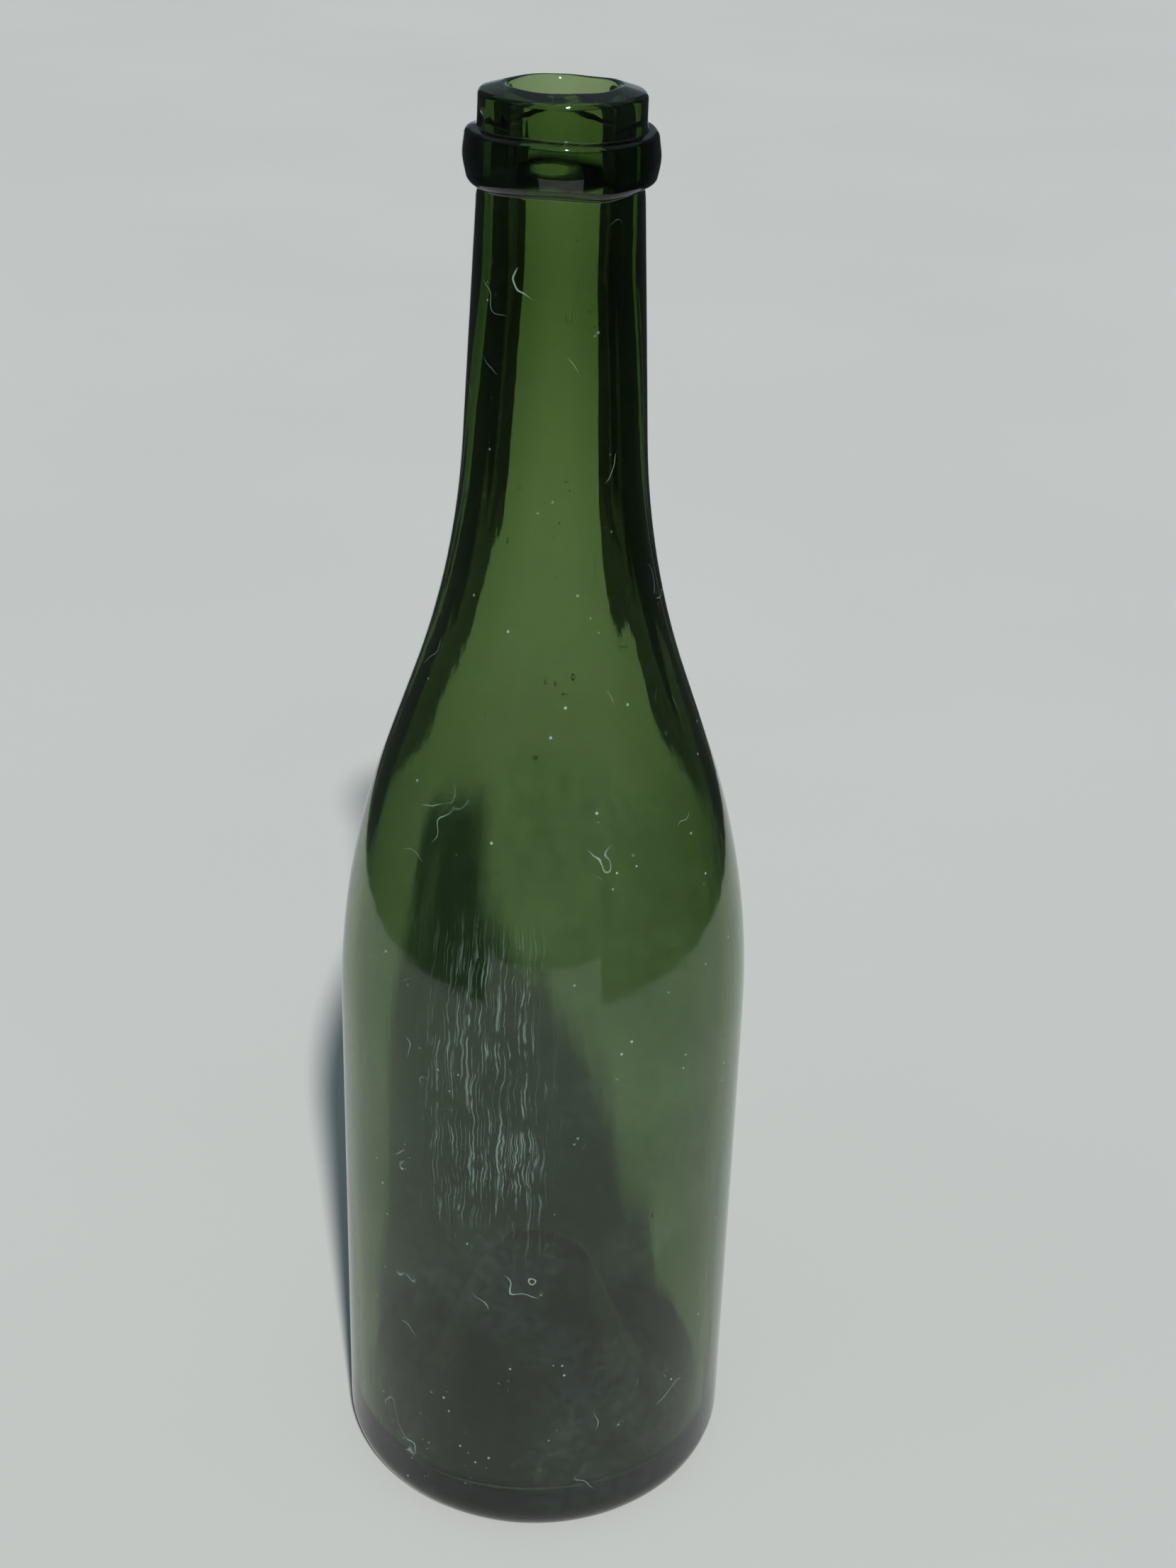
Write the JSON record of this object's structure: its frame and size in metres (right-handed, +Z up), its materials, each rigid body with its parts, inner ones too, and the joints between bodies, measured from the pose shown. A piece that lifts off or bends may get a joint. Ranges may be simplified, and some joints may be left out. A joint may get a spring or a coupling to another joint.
{
  "type": "wine bottle",
  "caption": "Empty wine bottle in thick dark green glass: rounded heel, deep punt, straight body, long sloping shoulders, tapering neck, and a ring below a short collar.",
  "frame": {"origin": "centre of the resting ring, on the surface that the bottle stands on", "axes": "+Z up the bottle's axis to the mouth; X and Y are free, as the bottle is round"},
  "size_m": [0.0848, 0.0848, 0.3],
  "materials": {
    "green_glass": "gloss with a thin haze, fine scratches and mineral streaks"
  },
  "bodies": {
    "root": {"bottle": "green_glass"}
  },
  "joints": []
}
